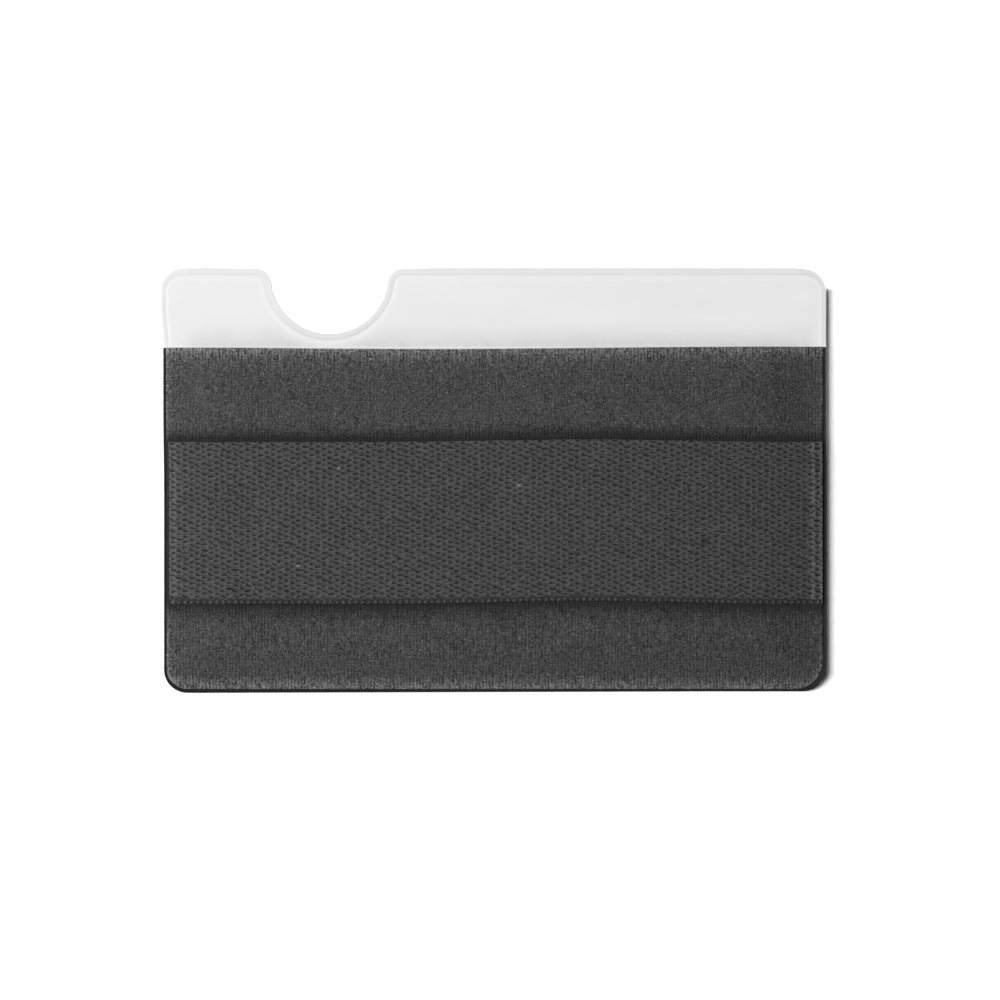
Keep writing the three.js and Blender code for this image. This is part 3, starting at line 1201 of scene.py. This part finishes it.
@dataclass
class PocketFront:
    """The knitted front: fused flat on three sides, swelling over the pocket, pressed in under the band.

    A wander is how far something strays and over what length. A painted sheen, light or haze is a strength
    and a reach. A crease's painted shade is a level, a depth, a reach and a power.
    """

    form: HolderForm
    wale_pitch: float = 0.467 * MM
    points_per_wale: int = 5
    wale_height: float = 0.003 * MM
    edge_wale_height: float = 0.020 * MM
    edge_radius: float = 0.20 * MM
    roll_radius: float = 0.42 * MM
    roll_reach: float = 1.3 * MM
    roll_swell: float = 0.10 * MM
    wale_wander: tuple[float, float] = (0.05 * MM, 9.0 * MM)
    level_wander: tuple[float, float] = (0.02 * MM, 4.0 * MM)
    crease_depth: float = 0.22 * MM
    crease_reach: float = 0.9 * MM
    crease_beside: float = 0.25 * MM
    # Painted sheen and light along the edges, and painted shade in the band's creases
    hem_painted_sheen: tuple[float, float] = (2.3, 0.95 * MM)
    lower_painted_sheen: tuple[float, float] = (1.5, 1.05 * MM)
    left_painted_light: tuple[float, float] = (1.3, 0.4 * MM)
    left_painted_haze: tuple[float, float] = (0.22, 2.2 * MM)
    right_painted_light: tuple[float, float] = (0.9, 0.35 * MM)
    upper_crease_painted_shade: tuple[float, float, float, float] = (1.0, 0.86, 1.40 * MM, 3.0)
    lower_crease_painted_shade: tuple[float, float, float, float] = (0.96, 0.84, 1.5 * MM, 1.4)
    least_ribbing: float = 0.06

    def build(self) -> bpy.types.Object:
        """Build and dress the front, and let it stand for its solid.

        Returns:
            The finished piece.
        """
        form = self.form
        low, high = form.front
        wales = int(round((high.x - low.x) / self.wale_pitch))
        columns = wales * self.points_per_wale
        x = np.linspace(low.x, high.x, columns + 1)[None, :]
        up = self._row_places()[:, None]
        lower = form.lower_at(x)
        y = lower + (form.mouth_at(x) - lower) * up
        x = x + np.zeros_like(y)
        over, under = self._faces(x, y)
        leant = x + form.lean_at(x, y)
        piece = closed_sheet(
            "knit_front",
            np.stack([leant, y, over], axis=-1),
            np.stack([leant, y, under], axis=-1),
            (2, self.points_per_wale),
            # The light mark carries painted sheen and light at the edges and painted shade in the creases
            {"light": self._light(x, y), "ribbing": self._ribbing(x, y)},
        )
        piece.data.materials.append(StretchKnit(form, self.wale_pitch).build())
        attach(piece, "root")
        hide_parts("pocket_front")
        return piece

    def _row_places(self) -> Array:
        """Places of the rows, close together along both edges, and an odd number of them.

        Returns:
            Shares of the front's height.
        """
        height = self.form.front[1].y - self.form.front[0].y
        edge = np.array([0.0, 0.03, 0.08, 0.15, 0.24, 0.35, 0.5, 0.7, 0.95]) * MM / height
        middle = np.linspace(edge[-1], 1.0 - edge[-1], 60)[1:-1]
        places = np.concatenate([edge, middle, 1.0 - edge[::-1]])
        return places if len(places) % 2 else np.delete(places, len(places) // 2)

    def _faces(self, x: Array, y: Array) -> tuple[Array, Array]:
        """Levels of the upper side and the underside.

        The underside lies on the lining plus the rise. The upper side stands the thickness above it, drawn
        down on a quarter circle at each fused edge and closed on a half circle at the mouth's roll.

        Args:
            x: Places along X.
            y: Places along Y.

        Returns:
            The levels above and below, at each place.
        """
        form = self.form
        edge = form.from_fused_edge(x, y)
        from_mouth = np.maximum(form.mouth_at(x) - y, 0.0)
        body = form.front_thickness_at(x, y) * rounded(edge, self.edge_radius)
        roll = fall_off(from_mouth, self.roll_swell, self.roll_reach, 2.0) * form.swell_at(x, y)
        tuck = self.crease_depth * self._crease_at(x, y) * form.swell_at(x, y)
        floor = form.lining_top + form.front_rise_at(x, y)
        half = rounded(from_mouth, self.roll_radius)
        stray, wales_over = self.wale_wander
        uneven, levels_over = self.level_wander
        sway = stray * ripples(x, y, wales_over, 31)
        depth = self.wale_height + self.edge_wale_height * (self._ribbing(x, y) - 0.15)
        wales = depth * np.cos(math.tau * (x + sway) / self.wale_pitch) * smooth(edge / (0.5 * MM))
        waves = uneven * ripples(x, y, levels_over, 3) * form.swell_at(x, y)
        over = floor + body * 0.5 * (1.0 + half) + (roll + wales + waves) * half - tuck
        under = floor + body * 0.5 * (1.0 - half)
        closing = (from_mouth <= NOTHING) | (edge <= NOTHING)
        return np.where(closing, floor + body * 0.5, over), np.where(closing, floor + body * 0.5, under)

    def _past_band(self, x: Array, y: Array) -> tuple[Array, Array]:
        """How far a point lies above the band's upper edge and below its lower edge."""
        beside, half = y - self.form.band_middle_at(x), self.form.band_width / 2
        return np.maximum(beside - half, 0.0), np.maximum(-beside - half, 0.0)

    def _light(self, x: Array, y: Array) -> Array:
        """Factor of the yarn's colour: painted sheen and light round each edge, painted shade in the band's
        creases.

        Each edge adds a painted fall-off of light from the edge inwards, and each crease takes one away as
        painted shade.

        Args:
            x: Places along X.
            y: Places along Y.

        Returns:
            The factor at each place.
        """
        low, high = self.form.front
        # Painted sheen and light along the edges
        painted_edge_light = 1.0 + fall_off(np.maximum(self.form.mouth_at(x) - y, 0.0), *self.hem_painted_sheen)
        painted_edge_light = painted_edge_light + fall_off(np.maximum(y - self.form.lower_at(x), 0.0), *self.lower_painted_sheen, 2.0)
        painted_edge_light = painted_edge_light + fall_off(x - low.x, *self.left_painted_light) + fall_off(x - low.x, *self.left_painted_haze)
        painted_edge_light = painted_edge_light + fall_off(high.x - x, *self.right_painted_light)
        # Painted shade in the creases beside the band
        creases = []
        for past, (level, *fall) in zip(self._past_band(x, y), (self.upper_crease_painted_shade, self.lower_crease_painted_shade)):
            creases.append(level - fall_off(past, *fall))
        return painted_edge_light * np.where(y > self.form.band_middle_at(x), *creases)

    def _ribbing(self, x: Array, y: Array) -> Array:
        """How clearly the wales show: least in the open, up to 1 along the hem, the lower edge and the band.

        Args:
            x: Places along X.
            y: Places along Y.

        Returns:
            The share at each place.
        """
        above, below = self._past_band(x, y)
        near = fall_off(np.maximum(self.form.mouth_at(x) - y, 0.0), 1.0, 1.6 * MM, 2.0)
        near = near + fall_off(np.maximum(y - self.form.lower_at(x), 0.0), 1.0, 1.4 * MM, 2.0)
        near = near + fall_off(above, 0.6, 1.3 * MM, 2.0) + fall_off(below, 0.4, 1.3 * MM, 2.0)
        return self.least_ribbing + (1.0 - self.least_ribbing) * np.clip(near, 0.0, 1.0)

    def _crease_at(self, x: Array, y: Array) -> Array:
        """Narrow crease just outside each edge of the band."""
        past = np.abs(y - self.form.band_middle_at(x)) - self.form.band_width / 2
        return bell(past, self.crease_beside, self.crease_reach)


@dataclass
class FingerBand:
    """The woven band: columns of hollows, each half a step below the last, and a looped lower edge.

    A wander is how far something strays and over what length. A fleck of lint is its place in millimetres,
    its radius and its strength.
    """

    form: HolderForm
    pattern: WeavePattern = WeavePattern()
    column_pitch: float = 0.896 * MM
    row_pitch: float = 0.773 * MM
    points_per_column: int = 5
    points_per_row: int = 5
    hollow_depth: float = 0.16 * MM
    edge_radius: float = 0.32 * MM
    end_radius: float = 0.2 * MM
    loop_height: float = 0.06 * MM
    loop_radius: float = 0.19 * MM
    loop_inset: float = 0.30 * MM
    # Also sets the loops' painted highlight and the painted shade in the row beside them
    loop_light: float = 1.35
    loop_gap: float = 0.35
    edging_width: float = 0.95 * MM
    edging_relief: float = 0.45
    row_wander: tuple[float, float] = (0.08, 1.9 * MM)
    column_wander: tuple[float, float] = (0.09, 2.4 * MM)
    depth_wander: tuple[float, float] = (0.20, 1.1 * MM)
    loop_wander: tuple[float, float] = (0.14, 1.7 * MM)
    level_wander: tuple[float, float] = (0.015 * MM, 9.0 * MM)
    # Painted light at the ends and a painted highlight along the upper edge
    left_painted_light: tuple[float, float] = (0.3, 1.8 * MM)
    right_painted_light: float = 1.05
    upper_painted_highlight: tuple[float, float] = (0.3, 0.3 * MM)
    flecks: tuple[tuple[float, float, float, float], ...] = (
        (-22.2, 1.7, 0.22, 2.6),
        (3.33, -0.71, 0.24, 2.6),
        (-27.9, -12.2, 0.22, 2.2),
        (12.4, -1.2, 0.20, 1.3),
        (-8.3, -5.9, 0.18, 1.2),
        (29.7, -8.65, 0.65, -0.55),
    )

    def build(self) -> bpy.types.Object:
        """Build and dress the band, and let it stand for its solid.

        Returns:
            The finished piece.
        """
        form = self.form
        low, high = form.band
        columns = int(round((high.x - low.x) / self.column_pitch)) * self.points_per_column
        rows = int(round(form.band_width / self.row_pitch)) * self.points_per_row
        along = np.linspace(low.x, high.x, columns + 1)[None, :]
        across = np.linspace(-0.5, 0.5, rows + 1)[:, None] * form.band_width
        x = along + np.zeros_like(across)
        y = form.band_middle_at(along) + across
        row, column, vary, edging = self._places(x, across)
        relief = self._weave(row, column, vary, edging)
        edge = np.minimum(across + form.band_width / 2, form.band_width / 2 - across)
        end = np.minimum(x - low.x, high.x - x)
        side = rounded(edge, self.edge_radius) * rounded(end, self.end_radius)
        under_level = form.band_under_at(x)
        thick = form.band_thickness_at(x)
        stray, levels_over = self.level_wander
        uneven = stray * ripples(x, y, levels_over, 5)
        loops = self._loops(x, across)
        sunk = self.hollow_depth * (1.0 - relief) * (0.4 + 0.6 * form.band_free_at(x))
        top = thick - sunk + self.loop_height * loops + uneven
        middle = under_level + thick * 0.5
        over = middle + (top - thick * 0.5) * side
        under = middle - thick * 0.5 * side
        closing = side <= NOTHING
        over, under = np.where(closing, middle, over), np.where(closing, middle, under)
        leant = x + form.lean_at(x, y)
        piece = closed_sheet(
            "woven_band",
            np.stack([leant, y, over], axis=-1),
            np.stack([leant, y, under], axis=-1),
            (self.points_per_row, self.points_per_column),
            {
                "row": row,
                "column": column,
                "vary": vary,
                "edging": edging,
                # The loops' and the edging's painted highlight
                "loops": loops + edging * 0.25,
                # Painted light at the ends and upper edge, with lint flecks
                "light": self._light(x, across),
            },
        )
        piece.data.materials.append(WovenElastic(form, self.pattern).build())
        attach(piece, "root")
        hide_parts("finger_band")
        return piece

    def _light(self, x: Array, across: Array) -> Array:
        """Factor of the yarn's colour: painted light at both ends, a painted highlight along the upper edge,
        with flecks of lint.

        Args:
            x: Places along X.
            across: Places across the band, from its middle line.

        Returns:
            The factor at each place.
        """
        flecks = np.ones_like(x)
        for fleck_x, fleck_y, radius, strength in self.flecks:
            level = self.form.band_middle_at(fleck_x * MM)
            away = np.hypot(x - fleck_x * MM, across + level - fleck_y * MM)
            flecks += fall_off(away, strength, radius * MM, 2.0)
        low, high = self.form.band
        # Painted light at the ends and a painted highlight along the upper edge
        ends = fall_off(x - low.x, *self.left_painted_light)
        ends = ends + self.right_painted_light * (1.0 - smooth((high.x - x - 0.9 * MM) / (1.3 * MM)))
        upper = fall_off(self.form.band_width / 2 - across, *self.upper_painted_highlight, 2.0)
        return (1.0 + ends + upper) * flecks

    def _places(self, x: Array, across: Array) -> tuple[Array, Array, Array, Array]:
        """Where a point lies in the weave. Rows, columns and depth each wander by ripples of their own.

        Args:
            x: Places along X.
            across: Places across the band, from its middle line.

        Returns:
            Row, column, how deep its hollows are, and 1 on the lower edging.
        """
        (stray, rows_over), (shift, columns_over) = self.row_wander, self.column_wander
        uneven, depth_over = self.depth_wander
        row = across / self.row_pitch + stray * ripples(x, across, rows_over, 22)
        column = x / self.column_pitch + shift * ripples(x, across, columns_over, 21)
        vary = 1.0 + uneven * ripples(x, across, depth_over, 23)
        edging = smooth((self.edging_width - across - self.form.band_width / 2) / (0.3 * MM))
        return row, column, vary, edging + np.zeros_like(x)

    def _weave(self, row: Array, column: Array, vary: Array, edging: Array) -> Array:
        """Height of the weave from 0 in a hollow to 1 on a float.

        Hollows lie where two slanted cosines meet, one falling and one rising by half a row for each column.
        The falling one alone leaves a shallower channel between hollows.

        Args:
            row: Row of the weave at each point.
            column: Column of the weave at each point.
            vary: Factor of the hollows' depth.
            edging: 1 on the lower edging.

        Returns:
            The height at each point.
        """
        channel = 0.5 + 0.5 * np.cos(math.tau * (row + column * 0.5))
        crossing = 0.5 + 0.5 * np.cos(math.tau * (row - column * 0.5))
        weave = np.clip(1.0 - self.pattern.depth(channel, crossing) * vary, 0.0, 1.0)
        return weave * (1.0 - edging) + self.edging_relief * edging

    def _loops(self, x: Array, across: Array) -> Array:
        """Row of loops along the lower edge: a round bell for each column, less a bell along the whole row.

        Args:
            x: Places along X.
            across: Places across the band, from its middle line.

        Returns:
            1 or so on a loop, and below 0 between loops.
        """
        uneven, over = self.loop_wander
        beside = ((x / self.column_pitch + 0.5) % 1.0 - 0.5) * self.column_pitch
        inward = across + self.form.band_width / 2 - self.loop_inset
        spot = np.exp(-((beside / self.loop_radius) ** 2) - (inward / self.loop_radius) ** 2)
        row = fall_off(inward, self.loop_gap, 0.3 * MM, 2.0)
        vary = 1.0 + uneven * ripples(x, across, over, 27)
        return self.loop_light * spot * vary - row


@dataclass
class StickyBack:
    """The adhesive pad and its liner, whose solids already have the right shape."""

    def build(self) -> None:
        """Dress the two solids."""
        for node, finish in (("adhesive_pad", StickyFilm()), ("release_liner", LinerPaper())):
            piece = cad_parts[node]
            piece.data.materials.clear()
            piece.data.materials.append(finish.build())


@dataclass
class Studio:
    """Pale floor, a soft light from the left and a camera straight above."""

    form: HolderForm
    floor_size: float = 1.6
    lens: float = 200.0
    sensor: float = 36.0
    key_distance: float = 2.4
    key_elevation: float = 61.0
    key_size: float = 1.3
    key_width_share: float = 0.35
    key_watts: float = 72.0
    sky: float = 0.105
    floor_watts: float = 116.0
    floor_light_angle: float = 2.0
    notch_light_share: float = 1.7
    notch_light_blend: float = 0.3
    corner_light_shift: tuple[float, float] = (-0.1 * MM, 0.4 * MM)
    corner_light_radius: float = 3.6 * MM
    corner_light_blend: float = 0.7

    def build(self) -> None:
        """Lay the floor, light it and set the camera."""
        half = self.floor_size / 2
        corners = np.array([[-1.0, -1.0, 0.0], [1.0, -1.0, 0.0], [1.0, 1.0, 0.0], [-1.0, 1.0, 0.0]]) * half
        floor = add_mesh("studio_floor", corners, [np.array([[0, 1, 2, 3]])])
        floor.data.materials.append(StudioPaper().build())
        self._key()
        corner = self.form.plate[1]
        beside, above = self.corner_light_shift
        place = (corner.x + beside, corner.y + above)
        reach = self.form.notch_radius * self.notch_light_share
        self._floor_light("notch light", floor, self.form.notch_centre, reach, self.notch_light_blend)
        self._floor_light("corner light", floor, place, self.corner_light_radius, self.corner_light_blend)
        self._sky()
        self._camera()

    def _key(self) -> None:
        """Soft light from the left."""
        lamp = bpy.data.lights.new("key", "AREA")
        lamp.shape = "RECTANGLE"
        lamp.size = self.key_size * self.key_width_share
        lamp.size_y = self.key_size
        lamp.energy = self.key_watts
        rise = math.radians(self.key_elevation)
        place = Vector((-math.cos(rise), 0.0, math.sin(rise))) * self.key_distance
        light = bpy.data.objects.new("key", lamp)
        light.location = place
        light.rotation_euler = (-place).to_track_quat("-Z", "Y").to_euler()
        bpy.context.scene.collection.objects.link(light)

    def _floor_light(
        self, name: str, floor: bpy.types.Object, centre: tuple[float, float], radius: float, blend: float
    ) -> None:
        """Light from straight above, for a round of the floor alone, that lifts the shadow there.

        Args:
            name: The light's name.
            floor: The only object that it lights.
            centre: Middle of the round.
            radius: Radius of the round.
            blend: Share of the radius over which it fades.
        """
        lamp = bpy.data.lights.new(name, "SPOT")
        lamp.spot_size = math.radians(self.floor_light_angle)
        lamp.spot_blend = blend
        lamp.shadow_soft_size = 0.0
        reach = radius / math.tan(lamp.spot_size / 2)
        lamp.energy = self.floor_watts * reach**2
        light = bpy.data.objects.new(name, lamp)
        light.location = (*centre, reach)
        bpy.context.scene.collection.objects.link(light)
        lit = bpy.data.collections.new("lit by " + name)
        lit.objects.link(floor)
        light.light_linking.receiver_collection = lit

    def _sky(self) -> None:
        """Even dim light from all round."""
        world = bpy.data.worlds.new("studio")
        world.use_nodes = True
        world.node_tree.nodes["Background"].inputs["Color"].default_value = (1.0, 1.0, 1.0, 1.0)
        world.node_tree.nodes["Background"].inputs["Strength"].default_value = self.sky
        bpy.context.scene.world = world

    def _camera(self) -> None:
        """Camera straight above, framed as the photograph is."""
        data = bpy.data.cameras.new("camera")
        data.lens, data.sensor_width = self.lens, self.sensor
        frame_width = PHOTO_WIDTH_PX / PHOTO_PX_PER_MM * MM
        camera = bpy.data.objects.new("camera", data)
        centre_x, centre_y = (value * MM for value in PHOTO_CENTRE_MM)
        level = self.form.lining_top
        camera.location = (centre_x, centre_y, level + frame_width * self.lens / self.sensor)
        bpy.context.scene.collection.objects.link(camera)
        bpy.context.scene.camera = camera


def main() -> None:
    """Build the pieces in order, light them and set the camera."""
    logging.basicConfig(level=logging.INFO)
    form = HolderForm()
    for assembly in (BackPlate(form), PocketBack(form), PocketFront(form), FingerBand(form)):
        piece = assembly.build()
        log.info("%s: %d faces", piece.name, len(piece.data.polygons))
    StickyBack().build()
    Studio(form).build()
    bpy.context.scene.view_settings.view_transform = "Standard"


if __name__ == "__main__":
    main()
